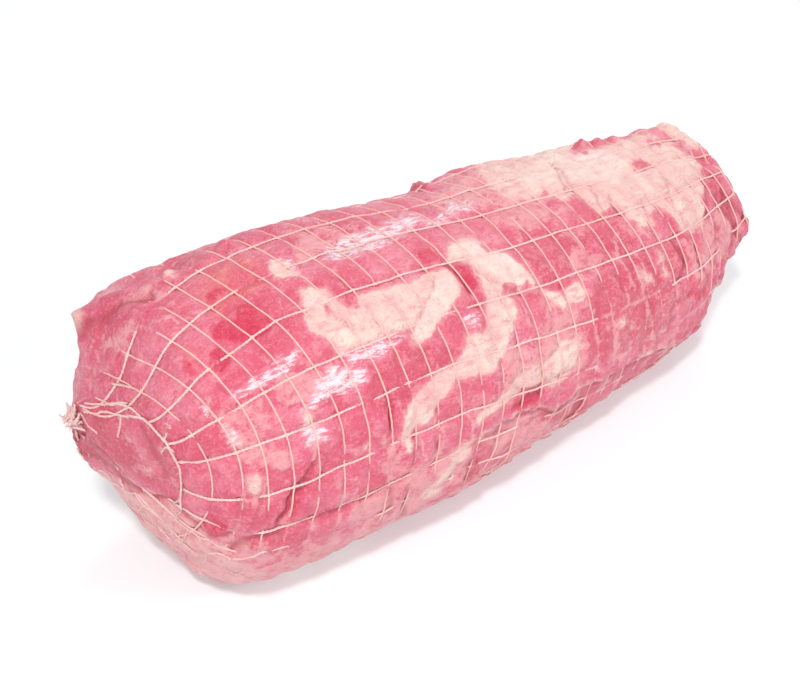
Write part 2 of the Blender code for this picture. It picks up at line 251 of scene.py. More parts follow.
def inside(X, Y, outline):
    """Millimetres inside an outline drawn in the photograph, negative outside."""
    odd = np.zeros(X.shape, bool)
    q = np.array(outline, float).reshape(-1, 2)
    for a, b in zip(q, np.roll(q, -1, axis=0)):
        rise = b[1] - a[1]
        cross = (a[1] > Y) != (b[1] > Y)
        odd ^= cross & (X < a[0] + (Y - a[1]) * (b[0] - a[0]) / (rise if rise else 1e-9))
    d = line_distance(X, Y, outline, True) / PX
    return np.where(odd, d, -d)


# What the photograph shows, as outlines and lines of x,y places in its pixels

# Cream fat
FAT = [
    [298,291, 312,289, 325,291, 336,300, 347,309, 358,307, 357,297, 370,290, 385,288, 410,281, 418,277,
     430,270, 444,268, 453,276, 459,287, 458,300, 450,310, 440,322, 430,337, 420,344, 410,343, 408,331,
     395,333, 362,346, 338,355, 335,343, 320,337, 308,333, 303,322, 304,308],
    [446,248, 452,241, 466,239, 478,242, 490,250, 503,252, 515,260, 527,270, 536,279, 541,286, 536,290,
     528,289, 503,293, 512,300, 516,312, 515,325, 509,335, 508,345, 502,358, 495,367, 487,373, 466,378,
     455,380, 450,390, 446,397, 438,402, 432,408, 434,415, 428,423, 414,430, 412,440, 411,452, 406,452,
     402,440, 401,430, 404,418, 405,405, 412,397, 422,387, 430,380, 436,372, 446,368, 456,362, 462,352,
     466,345, 466,335, 482,334, 485,325, 485,310, 484,295, 480,283, 474,272, 468,262, 448,262],
    [541,287, 550,290, 560,292, 566,300, 566,308, 560,309, 553,303, 546,296],
    [566,285, 580,282, 586,292, 583,303, 572,304, 564,300],
    [578,336, 583,346, 579,352, 576,366, 570,374, 553,386, 528,390, 518,396, 500,407, 490,413, 483,420,
     478,426, 474,420, 478,412, 496,400, 505,392, 512,380, 513,372, 520,367, 540,362, 552,355, 556,346,
     560,341],
    [474,440, 471,450, 464,462, 448,480, 438,490, 420,503, 422,492, 438,474, 450,463, 452,452, 462,443],
    [474,160, 500,158, 530,153, 558,147, 600,142, 625,136, 650,136, 680,150, 700,165, 704,180, 702,200,
     706,222, 690,235, 676,228, 668,214, 656,205, 650,214, 655,226, 640,228, 628,218, 616,205, 600,213,
     588,204, 575,195, 560,202, 545,192, 525,201, 505,199, 490,188, 478,175],
    [655,126, 668,124, 682,130, 694,138, 702,150, 692,150, 680,141, 665,135, 655,133],
    [303,415, 308,410, 314,418, 317,425, 310,428, 303,425],
    [247,478, 256,472, 263,476, 262,490, 256,497, 248,490],
    [637,268, 644,270, 650,280, 645,285, 638,278],
    [655,250, 662,255, 664,270, 668,275, 663,278, 658,262],
    [616,320, 622,317, 625,322, 620,326],
    [362,445, 367,443, 368,449, 362,450],
    [331,482, 338,479, 336,486],
    [337,492, 345,491, 343,496],
    [163,270, 170,266, 175,272, 174,280, 166,280],
    [268,268, 274,262, 286,260, 292,268, 297,276, 288,280, 275,280],
    [72,312, 78,302, 92,299, 88,309, 84,319, 78,319],
    [145,470, 149,468, 150,474, 146,475],
]
# Whiter fat
WHITE_FAT = [
    [436,276, 452,279, 458,296, 447,312, 437,325, 428,338, 415,342, 411,333, 418,318, 428,298],
    [447,247, 466,239, 492,247, 512,257, 530,275, 540,289, 521,289, 499,282, 481,272, 467,257, 451,257],
    [492,372, 500,352, 506,330, 512,312, 516,330, 510,352, 502,368],
    [300,292, 316,290, 330,300, 322,312, 306,308],
    [400,402, 412,392, 418,402, 408,424, 400,432],
    [516,176, 540,160, 575,152, 606,150, 630,162, 618,186, 592,182, 560,186, 530,190],
]
# Lean that shows through the fat
LEAN = [
    [570,156, 574,142, 590,136, 612,134, 640,128, 640,134, 616,142, 600,148, 584,154],
    [337,300, 345,300, 357,305, 350,309, 340,306],
    [503,284, 520,285, 518,292, 510,297, 503,292],
    [521,285, 528,283, 534,288, 525,291],
    [457,312, 470,310, 483,310, 485,320, 483,330, 476,334, 466,334, 461,324],
    [553,286, 560,281, 573,282, 568,288, 560,290],
    [632,162, 640,159, 651,164, 645,168, 636,168],
    [646,142, 660,142, 659,150, 650,148],
    [324,309, 326,309, 328,315, 326,315],
]
# Thin pale tissue over the lean
VEIL = [
    [430,190, 460,178, 500,172, 545,168, 560,180, 520,200, 480,212, 440,215],
    [270,380, 300,368, 335,365, 345,385, 320,402, 285,405],
    [440,180, 470,168, 500,175, 530,190, 545,200, 560,212, 540,232, 520,238, 505,226, 495,212, 480,196,
     460,190, 445,192],
    [565,252, 580,246, 600,250, 612,260, 600,268, 585,272, 572,270],
    [612,218, 640,222, 660,235, 690,240, 703,255, 706,285, 690,275, 686,245, 664,240, 640,238, 620,230],
    [540,320, 555,300, 575,305, 590,330, 590,360, 575,375, 560,380, 545,360],
    [218,412, 240,405, 262,400, 270,420, 262,440, 235,455, 222,440],
    [300,368, 318,362, 338,362, 352,385, 335,395, 310,400, 300,385],
    [60,425, 78,441, 100,461, 127,483, 145,497, 170,504, 190,523, 212,540, 232,538, 280,552, 345,532,
     380,517, 420,502, 470,478, 520,455, 570,440, 640,395, 680,365, 680,400, 520,490, 400,550, 245,600,
     190,590, 60,450],
    [345,505, 400,470, 440,450, 470,445, 470,480, 400,520, 350,535],
    [480,440, 520,415, 545,418, 560,430, 520,455, 490,460],
    [116,304, 132,290, 160,284, 162,297, 142,306, 122,313],
    [98,348, 110,336, 130,324, 140,330, 128,344, 112,352],
    [700,225, 722,205, 735,230, 722,262, 704,280, 700,250],
    [235,445, 262,440, 290,450, 285,475, 262,470, 240,462],
    [480,330, 540,345, 560,370, 520,400, 490,398, 500,370],
    [290,238, 330,226, 380,232, 340,245, 300,262],
    [380,440, 400,440, 405,470, 385,480],
]
# Deep red spots and bruised places
RED = [
    [212,330, 222,322, 235,320, 240,305, 250,301, 262,308, 269,318, 272,331, 262,338, 245,343, 226,342,
     214,340],
    [183,360, 190,361, 199,372, 194,377, 186,372],
    [633,162, 640,160, 650,164, 645,168, 636,167],
    [452,263, 462,264, 472,272, 478,285, 472,294, 462,285, 455,275],
    [205,298, 212,290, 226,283, 229,290, 216,300, 207,305],
    [208,352, 222,346, 232,360, 222,375, 210,370],
    [418,250, 430,248, 440,258, 425,264, 417,258],
    [553,286, 560,281, 573,282, 568,288, 560,290],
    [195,522, 215,512, 229,525, 225,535, 210,534, 200,529],
    [468,480, 470,464, 479,458, 484,464, 478,477],
    [512,411, 525,398, 540,389, 544,393, 535,402, 522,411],
    [560,437, 573,415, 583,405, 584,414, 572,432],
    [692,290, 700,287, 706,292, 700,300, 694,299],
    [571,149, 576,139, 586,136, 598,141, 592,149],
    [388,405, 396,404, 394,425, 390,430],
    [280,520, 290,505, 300,490, 300,505, 292,522],
]
# Rusty places
ORANGE = [
    [198,300, 205,280, 215,262, 240,256, 256,266, 262,290, 240,302, 225,312, 208,312],
    [180,350, 190,348, 205,362, 200,368],
]
# Darker lean, and painted shade below the ragged edge, along the fold at the flap and in the crease at the
# bottom
DARK_AND_SHADE = [
    [84,434, 110,430, 128,440, 150,470, 172,488, 150,486, 124,468, 98,450],
    [74,428, 84,432, 93,440, 104,448, 114,462, 124,470, 132,483, 126,488, 104,466, 90,452, 78,440],
    [92,415, 108,413, 111,428, 98,431],
    [122,404, 132,394, 145,396, 160,405, 150,413, 135,410],
    [140,425, 152,428, 168,450, 178,470, 183,492, 170,495, 158,475, 148,462, 143,445],
    [232,548, 240,541, 258,536, 278,535, 274,545, 255,551, 238,553],
    [590,287, 600,275, 625,262, 650,250, 672,240, 684,245, 688,262, 680,280, 690,292, 672,305, 668,330,
     655,350, 630,352, 600,348, 595,325, 588,303],
    [516,250, 540,240, 570,232, 600,226, 640,238, 630,256, 612,260, 598,248, 580,245, 570,252, 574,270,
     560,279, 540,284, 528,266],
    [362,388, 380,365, 400,345, 440,345, 458,348, 450,365, 425,378, 408,400, 385,410, 370,405],
    [716,194, 724,196, 732,206, 738,225, 728,220, 719,206],
    [713,222, 720,225, 718,237, 713,232],
    [716,250, 725,252, 722,266, 716,266],
    [590,149, 600,141, 615,135, 640,129, 632,137, 612,143, 596,150],
    [405,195, 420,182, 440,176, 432,186, 418,198],
    [96,335, 103,318, 113,307, 122,302, 114,318, 103,334],
    [530,410, 548,412, 560,412, 575,398, 600,384, 606,388, 584,404, 566,424, 545,424],
]
# Wet places that catch the light: they get a glossy coat and painted highlight glints in their colour
WET_AND_GLINT = [
    [320,260, 326,247, 343,237, 368,230, 386,223, 404,215, 424,214, 418,224, 404,236, 382,248, 360,255,
     335,264],
    [420,222, 440,214, 455,212, 450,219, 430,228],
    [228,402, 240,388, 262,372, 285,356, 302,352, 290,370, 270,382, 250,394],
    [298,412, 312,392, 316,376, 338,364, 350,370, 366,368, 368,380, 352,394, 332,394, 318,406],
    [338,352, 365,343, 400,332, 405,337, 385,353, 370,361, 350,363],
    [463,316, 478,314, 477,327, 465,328],
    [445,203, 472,203, 474,211, 448,213],
    [266,260, 292,258, 300,276, 280,280],
    [300,422, 322,426, 330,438, 305,448],
    [218,420, 230,425, 242,447, 232,452],
    [198,400, 212,410, 217,422, 206,418],
    [375,318, 420,308, 424,322, 395,328],
]
# The lower layer. Its first points follow the ragged edge of the outer meat
LEDGE_POINTS = 17
SUNK = [
    [478,446, 486,433, 498,426, 511,419, 518,413, 530,410, 541,408, 553,411, 561,406, 570,398, 577,390,
     588,384, 600,380, 618,371, 632,363, 650,352, 672,345, 700,330, 700,400, 560,480, 480,500],
]
# Creases between the muscles: line, depth and half width in millimetres
CREASES = [
    ([90,340, 97,325, 108,313, 122,302, 150,297], 2.2, 2.2),
    ([279,524, 290,503, 303,485, 312,465], 2.6, 1.8), ([550,165, 560,173, 568,186], 0.7, 0.9),
    ([570,186, 578,195, 588,207], 0.5, 0.8), ([608,196, 614,205, 619,213], 0.6, 0.8),
    ([632,195, 638,205], 0.5, 0.8),
    ([66,424, 80,441, 100,458, 128,484, 145,496, 168,502, 190,521, 212,537, 232,535], 1.4, 1.4),
    ([410,474, 380,490, 358,501, 335,510, 312,520, 288,528, 262,533], 1.3, 1.3),
    ([233,549, 245,541, 262,537, 280,536], 2.4, 2.4), ([415,438, 417,450, 412,466], 0.9, 1.2),
    ([434,436, 437,450], 0.9, 1.1), ([717,194, 724,208, 733,225, 741,240], 1.4, 1.4),
    ([703,180, 706,200, 707,216], 0.8, 1.2), ([694,246, 698,262], 0.9, 0.9),
    ([716,248, 713,264], 0.9, 1.0), ([672,240, 684,262, 680,280], 1.3, 1.2),
    ([392,490, 388,514], 1.0, 1.4), ([408,486, 403,516], 0.9, 1.2), ([262,498, 250,530], 0.8, 1.4),
    ([238,500, 236,530], 0.6, 1.4), ([390,402, 391,430], 1.1, 1.3), ([468,480, 474,464], 1.8, 2.2),
    ([514,410, 526,400, 541,391], 1.5, 1.4), ([562,436, 574,418, 584,404], 1.8, 1.6),
    ([606,378, 616,371, 634,362], 1.4, 1.2), ([446,262, 455,272, 462,283, 470,292], 0.7, 1.6),
    ([140,425, 150,450, 166,480], 0.9, 2.0), ([76,430, 95,444, 118,470], 0.9, 1.6),
    ([596,290, 598,320, 604,350], 0.6, 1.0), ([690,292, 672,306, 668,332], 0.9, 1.2),
    ([330,440, 322,480, 324,512], 0.5, 1.2), ([640,272, 650,300, 648,330], 0.6, 1.0),
    ([721,190, 733,202, 741,214, 747,226], 1.3, 1.0),
    ([724,194, 731,212, 737,228, 730,250, 724,266], 1.2, 1.0), ([716,222, 717,232, 714,242], 0.8, 0.9),
    ([700,262, 706,276, 704,290], 0.9, 1.0), ([415,342, 411,333, 418,318, 428,298, 436,276], 0.6, 0.9),
    ([447,250, 452,258, 466,260, 480,274, 499,285, 521,292], 0.5, 0.9),
    ([511,384, 518,371, 537,368, 553,355, 560,345], 0.8, 0.9), ([540,368, 546,380], 0.7, 0.9),
    ([553,165, 558,178, 566,190], 0.9, 0.8), ([590,188, 596,200, 604,212], 0.7, 0.8),
    ([640,200, 646,212, 650,224], 0.6, 0.8), ([660,172, 668,186, 672,204], 0.5, 0.8),
    ([340,282, 348,296, 346,312], 0.5, 0.9), ([318,300, 336,318, 362,330], 0.6, 0.9),
    ([376,322, 392,330, 404,340], 0.5, 0.9),
    ([498,400, 503,380, 511,384, 524,391, 549,382, 573,369], 0.7, 1.0),
]
# Pale skin below the ledge of the knotted end
PALE_SKIN = [
    [62,425, 78,447, 107,473, 124,489, 144,494, 165,503, 181,508, 196,522, 212,537, 226,546, 238,562,
     270,572, 250,590, 195,580, 140,530, 90,475, 60,440],
]
# Thin pale seams: line, half width in millimetres
SEAMS = [
    ([642,278, 648,310, 653,340], 0.8), ([594,309, 598,340, 597,370], 0.7), ([581,273, 587,306], 1.0),
    ([614,322, 617,365], 0.8), ([699,253, 706,289], 0.7), ([716,194, 722,212, 724,230], 0.8),
    ([678,322, 663,365], 0.8), ([635,253, 648,278, 653,284], 0.9), ([658,253, 665,273], 0.9),
    ([599,391, 627,365, 650,352], 0.8), ([571,416, 581,391, 589,380], 0.7),
    ([124,476, 144,490, 181,507, 212,537, 232,540], 0.9), ([76,310, 101,298, 118,284], 0.7),
    ([318,436, 304,487, 283,524], 0.8), ([480,352, 462,364, 440,382, 420,398], 0.8),
    ([398,404, 406,420, 402,446, 396,470], 0.8), ([430,400, 436,424, 448,440], 0.7),
    ([455,395, 470,420, 474,440], 0.7), ([520,300, 528,330, 534,360], 0.7),
    ([552,300, 560,320, 566,345], 0.8), ([612,240, 622,262, 632,290], 0.8),
    ([570,230, 584,252, 596,275], 0.7), ([205,395, 230,420, 236,450], 0.8),
    ([262,455, 268,480, 262,500], 0.8), ([345,450, 356,480, 350,505], 0.7),
    ([420,440, 428,470, 418,492], 0.8), ([448,456, 436,484, 420,500], 1.2),
    ([140,330, 168,318, 190,330], 0.8), ([120,430, 136,450, 150,480], 0.7),
]
# Threads of the net that show through the pale skin below the knotted end
SKIN_THREADS = [
    [76,450, 87,459, 107,473, 119,496, 136,507, 150,516, 170,527, 176,539, 184,542, 199,556],
    [116,482, 124,487, 136,493, 144,504, 164,521, 176,520, 187,530, 201,537, 210,539], [176,520, 181,508],
    [187,530, 184,541], [164,521, 170,527], [121,479, 119,496], [204,550, 221,553, 233,559],
    [201,539, 206,550, 202,564, 204,570], [233,559, 262,552, 290,545], [144,504, 136,507],
]
# Draw thread of the knotted end, the doubled threads beside it and its loose ends: line and half width
END_THREADS = [
    ([141,418, 152,425, 160,433, 166,441, 174,455, 180,470, 181,490, 180,500, 181,508], 0.66),
    ([144,420, 132,417, 122,416, 100,411, 84,410], 0.6),
    ([142,418, 132,410, 122,405, 100,404, 86,404], 0.6),
    ([120,414, 119,425, 118,438], 0.5),
    ([80,414, 88,424, 99,433], 0.45),
    ([164,440, 167,432, 171,427, 168,423], 0.45),
    ([174,452, 166,448, 160,452], 0.4),
    ([97,398, 110,404, 126,402], 0.45),
    ([112,383, 122,386, 136,388], 0.55),
    ([181,500, 174,503, 168,500], 0.4),
]
# Lumps that stand out: place, height and radius in millimetres
LUMPS = [
    (581,147, 3.8, 6.0), (595,145, 2.6, 6.0), (612,141, 1.8, 6.0), (640,134, 1.4, 8.0),
    (661,130, 1.6, 5.5), (674,132, 1.2, 3.5), (685,139, 1.5, 3.0), (694,146, 1.3, 3.0),
    (418,188, 3.4, 5.0), (427,187, 2.2, 6.0), (226,246, 2.0, 5.0), (150,277, 1.6, 4.0),
    (168,275, 1.6, 4.5), (660,262, 1.0, 3.0), (643,277, 1.2, 3.5), (620,322, 1.0, 2.5),
    (472,322, 0.9, 8.0), (308,420, 0.8, 4.0), (300,470, 1.0, 10.0), (330,495, 1.2, 12.0),
    (254,484, 0.9, 6.0), (560,360, 1.0, 9.0), (530,378, 0.9, 7.0), (480,350, 0.8, 9.0),
    (720,280, 1.5, 6.0), (745,228, 1.8, 7.0), (735,255, 1.6, 4.0), (712,292, 1.6, 4.5),
    (696,325, 1.6, 5.0), (77,447, 3.6, 11.0), (66,424, 3.2, 8.0), (90,465, 3.2, 11.0),
    (81,342, -6.4, 12.0), (122,281, -3.2, 12.0), (148,270, -3.6, 14.0), (176,262, -2.0, 14.0),
    (718,290, -5.6, 12.0), (706,158, -3.4, 9.0),
]
# Places where the meat has closed over the net: middle, radius in pixels and depth in millimetres
SWALLOWED = [
    (147,316, 20, 2.6), (217,367, 8, 2.2), (252,500, 16, 0.9), (625,305, 36, 1.5),
    (600,345, 26, 1.3), (670,330, 30, 1.5), (480,470, 30, 1.4),
    (610,400, 40, 1.5), (430,500, 30, 1.2), (300,555, 50, 1.2), (330,540, 40, 0.8),
    (165,300, 10, 1.2), (500,390, 16, 0.7), (560,320, 14, 0.9), (690,300, 25, 1.2),
    (725,240, 16, 0.9), (200,560, 30, 0.7), (120,490, 25, 0.7), (470,265, 8, 0.5),
    (100,310, 16, 2.4), (350,520, 30, 0.9), (104,350, 17, 2.6), (111,326, 18, 2.6),
    (122,298, 20, 2.6), (112,308, 14, 3.0), (141,296, 14, 2.6), (84,377, 16, 3.0), (79,395, 8, 3.0),
    (140,276, 20, 2.4), (163,264, 18, 2.0), (138,455, 12, 1.2), (104,460, 18, 2.2),
    (126,480, 20, 1.8), (87,394, 6, 3.0), (92,444, 12, 2.5), (645,372, 45, 1.8), (590,410, 45, 1.7),
    (540,440, 45, 1.8), (98,366, 8, 2.0), (190,255, 18, 1.4), (400,470, 40, 0.8), (250,540, 40, 1.0),
]


def buried(P, out):
    """Depth of the net below the meat's skin at points on it, where the photograph shows it covered."""
    X, Y = picture(P)
    deep = np.zeros(X.shape)
    for x, y, radius, depth in SWALLOWED:
        near = np.hypot(X - x, Y - y) / radius
        deep = np.maximum(deep, depth * clamp(1.6 - 1.6 * near))
    return deep * (((EYE - P) * out).sum(-1) > 0)


def mesh_object(name, verts, faces, material):
    mesh = bpy.data.meshes.new(name)
    mesh.from_pydata((np.asarray(verts) + SHIFT) * MM, [], faces)
    mesh.polygons.foreach_set("use_smooth", [True] * len(mesh.polygons))
    mesh.materials.append(material)
    obj = bpy.data.objects.new(name, mesh)
    bpy.context.scene.collection.objects.link(obj)
    return obj


def paint(mesh, name, values):
    """Store three numbers a point as a colour attribute."""
    a = mesh.attributes.new(name, "FLOAT_COLOR", "POINT")
    data = np.ones((len(mesh.vertices), 4), np.float32)
    data[:, :3] = values
    a.data.foreach_set("color", data.ravel())


class Nodes:
    """Short way to build a material's nodes."""

    def __init__(self, name):
        self.mat = bpy.data.materials.new(name)
        self.mat.use_nodes = True
        self.tree = self.mat.node_tree
        self.shader = self.tree.nodes["Principled BSDF"]

    def link(self, value, socket):
        if isinstance(value, bpy.types.NodeSocket):
            self.tree.links.new(value, socket)
        elif isinstance(value, tuple) and len(socket.default_value) == 4:
            socket.default_value = (*value, 1)
        else:
            socket.default_value = value

    def finish(self, sockets):
        """Set or link the shader's sockets by name, and give the material."""
        for name, value in sockets.items():
            self.link(value, self.shader.inputs[name])
        return self.mat

    def node(self, kind, *values, **named):
        """New node, with its first sockets set or linked in order and others by name."""
        n = self.tree.nodes.new("ShaderNode" + kind)
        for value, socket in zip(values, n.inputs):
            self.link(value, socket)
        for name, value in named.items():
            self.link(value, n.inputs[name])
        return n

    def math(self, op, a, b=0.0):
        n = self.node("Math", a, b)
        n.operation = op
        return n.outputs[0]

    def add(self, *values):
        total = values[0]
        for v in values[1:]:
            total = self.math("ADD", total, v)
        return total

    def times(self, a, b):
        return self.math("MULTIPLY", a, b)

    def swing(self, value, strength):
        """Noise moved to either side of zero."""
        return self.times(self.math("SUBTRACT", value, 0.5), strength)

    def mix(self, fac, a, b):
        n = self.node("Mix", fac)
        n.data_type = "RGBA"
        self.link(a, n.inputs[6])
        self.link(b, n.inputs[7])
        return n.outputs[2]

    def noise(self, vector, scale, detail=3.0, rough=0.55, distort=0.0):
        n = self.node("TexNoise", Vector=vector, Scale=scale, Detail=detail, Roughness=rough,
                      Distortion=distort)
        return n.outputs["Fac"]

    def ramp(self, value, low, high, before=0.0, after=1.0):
        n = self.node("MapRange", value, low, high, before, after)
        n.interpolation_type = "SMOOTHSTEP"
        return n.outputs[0]

    def veins(self, value, low, high):
        """Thin lines where noise crosses its middle."""
        return self.ramp(self.math("ABSOLUTE", self.math("SUBTRACT", value, 0.5)), low, high, 1, 0)

    def split(self, name):
        """The three numbers of a colour attribute."""
        a = self.node("Attribute")
        a.attribute_name = name
        return self.node("SeparateColor", a.outputs["Color"]).outputs[:3]

    def coords(self):
        return self.node("TexCoord").outputs["Object"]

    def stretch(self, vector, scale, rotation=(0, 0, 0)):
        return self.node("Mapping", Vector=vector, Scale=scale, Rotation=rotation).outputs[0]

    def bump(self, height, distance, strength=1.0, before=None):
        n = self.node("Bump", Height=height, Distance=distance, Strength=strength)
        if before is not None:
            self.link(before, n.inputs["Normal"])
        return n.outputs[0]


def lean_colour(n, veil, red, dark_and_shade, orange, speck_and_sparkle, pale):
    lean = n.mix(n.ramp(n.blotch, 0.34, 0.66), LEAN_DEEP, LEAN_MID)
    for value, low, high, before, after, tone in (
            (n.patchy, 0.46, 0.72, 0, 0.65, LEAN_LIGHT), (n.ragged, 0.36, 0.47, 0.6, 0, LEAN_DEEP),
            (n.ragged, 0.54, 0.63, 0, 0.45, LEAN_LIGHT), (n.fibre, 0.53, 0.68, 0, 0.30, LEAN_LIGHT),
            (n.fibre, 0.34, 0.46, 0.22, 0, LEAN_DEEP), (n.fine, 0.54, 0.64, 0, 0.55, LEAN_LIGHT),
            (n.fine, 0.36, 0.46, 0.45, 0, LEAN_DEEP)):
        lean = n.mix(n.ramp(value, low, high, before, after), lean, tone)
    # Darker lean, partly painted shade
    dim = n.ramp(n.add(dark_and_shade, n.swing(n.patchy, 2.0)), 0.25, 1.0)
    dim = n.times(dim, n.ramp(n.add(n.ragged, n.fine), 0.80, 1.2, 0.85, 0.15))
    lean = n.mix(dim, lean, PLUM)
    rust = n.times(orange, n.ramp(n.add(n.patchy, n.fine), 0.85, 1.15, 0.05, 0.6))
    lean = n.mix(rust, lean, RUST)
    blood = n.ramp(n.add(red, n.swing(n.patchy, 1.6)), 0.3, 0.85)
    blood = n.times(blood, n.ramp(n.ragged, 0.35, 0.62, 0.4, 0.95))
    lean = n.mix(blood, lean, BLOOD)
    # Thin veil of pale tissue, in streaks
    thin = n.add(veil, n.swing(n.patchy, 2.2), n.swing(n.ragged, 2.0))
    thin = n.add(thin, n.swing(n.fine, 0.9), n.swing(n.fibre, 0.8))
    lean = n.mix(n.ramp(thin, 0.25, 1.15, 0, 0.78), lean, VEIL_TONE)
    # Pale grains, and painted sparkle highlights, more of them on the wet places
    sparkle = n.ramp(n.noise(n.pos, 1250, 3, 0.7), 0.62, 0.70)
    grains_and_sparkle = n.times(sparkle, n.ramp(n.add(n.blotch, speck_and_sparkle), 0.52, 0.80, 0.05, 0.7))
    lean = n.mix(grains_and_sparkle, lean, FAT_PINK)
    # Pale skin, and painted light: paler towards the bottom
    skin_and_bounce_light = n.times(pale, n.ramp(n.add(n.patchy, n.ragged), 0.85, 1.15, 0.45, 1.0))
    return n.mix(skin_and_bounce_light, lean, PALE_TONE)


def fat_colour(n, bright, shade):
    cream = n.mix(n.ramp(n.blotch, 0.38, 0.66), FAT_PINK, FAT_CREAM)
    cream = n.mix(n.ramp(n.patchy, 0.55, 0.74, 0, 0.7), cream, FAT_PINK)
    cream = n.mix(n.ramp(n.streak, 0.50, 0.64, 0, 0.85), cream, FAT_PINK)
    cream = n.mix(n.ramp(n.add(n.streak, n.patchy), 1.03, 1.20, 0, 0.75), cream, VEIL_TONE)
    cream = n.mix(n.ramp(n.streak, 0.32, 0.44, 0.6, 0), cream, FAT_WHITE)
    cream = n.mix(n.ramp(n.ragged, 0.58, 0.74, 0, 0.6), cream, VEIL_TONE)
    # Fine veins
    warp = n.noise(n.stretch(n.flat, (70, 150, 1), (0, 0, -0.6)), 1.0, 5, 0.6, 1.2)
    vein = n.times(n.veins(warp, 0.002, 0.016), n.ramp(n.patchy, 0.46, 0.62, 0, 0.55))
    cream = n.mix(vein, cream, LEAN_LIGHT)
    # Painted shade: pinker along the threads; whiter where the fat is thick
    cream = n.mix(n.times(shade, n.ramp(n.ragged, 0.35, 0.65, 0.25, 0.6)), cream, VEIL_TONE)
    whiter = n.ramp(n.add(bright, n.swing(n.ragged, 1.2)), 0.3, 0.8)
    whiter = n.times(whiter, n.ramp(n.add(n.streak, n.ragged), 0.85, 1.25, 0.85, 0.25))
    return n.mix(whiter, cream, FAT_WHITE)


def meat_material():
    n = Nodes("raw veal")
    fat, veil, red = n.split("paint_a")
    dark_and_shade, orange, wet_and_glint = n.split("paint_b")
    crease_shade, pale, rim = n.split("paint_c")
    bright, speck_and_sparkle, shade = n.split("paint_d")
    # Noises of several sizes, and two that run along the meat
    n.pos = n.coords()
    uv = n.node("UVMap")
    uv.uv_map = "grain"
    n.flat = uv.outputs[0]
    n.blotch = n.noise(n.pos, 42, 4, 0.6)
    n.patchy = n.noise(n.pos, 130, 4, 0.65, 0.5)
    n.ragged = n.noise(n.pos, 260, 5, 0.7, 0.4)
    n.fine = n.noise(n.pos, 700, 4, 0.7)
    n.fibre = n.noise(n.stretch(n.flat, (110, 1100, 1), (0, 0, 0.9)), 1.0, 4, 0.65, 0.3)
    n.streak = n.noise(n.stretch(n.flat, (60, 300, 1), (0, 0, -0.9)), 1.0, 5, 0.65, 0.6)
    lean = lean_colour(n, veil, red, dark_and_shade, orange, speck_and_sparkle, pale)
    cream = fat_colour(n, bright, shade)
    # Ragged edge between fat and lean
    edge = n.add(fat, n.swing(n.patchy, 3.6), n.swing(n.ragged, 3.4))
    edge = n.add(edge, n.swing(n.fine, 1.6), n.swing(n.streak, 3.0))
    colour = n.mix(n.ramp(edge, -2.4, 0.2, 0, 0.5), lean, VEIL_TONE)
    colour = n.mix(n.ramp(edge, -0.3, 1.3), colour, cream)
    colour = n.mix(rim, colour, FAT_WHITE)
    # Thin seams of fat through the lean
    warp = n.noise(n.stretch(n.flat, (34, 85, 1), (0, 0, 0.7)), 1.0, 4, 0.55, 1.0)
    line = n.times(n.veins(warp, 0.003, 0.014), n.ramp(n.blotch, 0.48, 0.60, 0, 0.5))
    colour = n.mix(line, colour, VEIL_TONE)
    # Painted shade: dark red in the creases and below the ragged edge
    colour = n.mix(n.times(crease_shade, n.ramp(n.fine, 0.3, 0.7, 0.65, 1.0)), colour, CREASE_SHADE_TONE)
    # Painted highlight: broken pale glints painted into the colour of the wet places, over their glossy coat
    glint_pattern = n.noise(n.stretch(n.flat, (190, 620, 1), (0, 0, 0.12)), 1.0, 5, 0.75, 0.3)
    shine = n.ramp(n.add(glint_pattern, n.times(wet_and_glint, 0.135)), 0.545, 0.65, 0.08, 0.80)
    colour = n.mix(n.times(n.ramp(wet_and_glint, 0.05, 0.5), shine), colour, PAINTED_GLINT)
    fatty = n.ramp(edge, -0.3, 1.3, 1.0, 0.25)
    coat = n.math("MAXIMUM", wet_and_glint, n.ramp(n.blotch, 0.45, 0.62, 0.12, 0.45))
    first = n.bump(n.add(n.fine, n.times(n.fibre, 0.8)), 0.0010, 0.7)
    second = n.bump(n.add(n.ragged, n.times(n.patchy, 1.5)), 0.0026, 0.6, first)
    gloss = n.noise(n.stretch(n.flat, (300, 520, 1)), 1.0, 5, 0.75)
    return n.finish({
        "Base Color": colour, "Roughness": n.ramp(n.ragged, 0.3, 0.7, 0.42, 0.60), "Normal": second,
        "Subsurface Weight": 0.10, "Subsurface Radius": (1.0, 0.35, 0.25), "Subsurface Scale": 0.002,
        "Coat Weight": n.times(coat, fatty), "Coat Roughness": 0.10, "Coat IOR": 1.45,
        "Coat Normal": n.bump(gloss, 0.0010, 0.8)})


def thread_material(name, colour, tint):
    n = Nodes(name)
    pos = n.coords()
    broad = n.noise(pos, 60, 3, 0.6)
    fluff = n.noise(pos, 1500, 3, 0.7)
    c = n.mix(n.ramp(broad, 0.35, 0.68), colour, tint)
    c = n.mix(n.ramp(fluff, 0.34, 0.55, 0.5, 0), c, THREAD_SHADE)
    return n.finish({
        "Base Color": c, "Roughness": 0.8, "Specular IOR Level": 0.25, "Normal": n.bump(fluff, 0.0003, 0.8),
        "Subsurface Weight": 0.15, "Subsurface Radius": (1.0, 0.5, 0.4), "Subsurface Scale": 0.001})


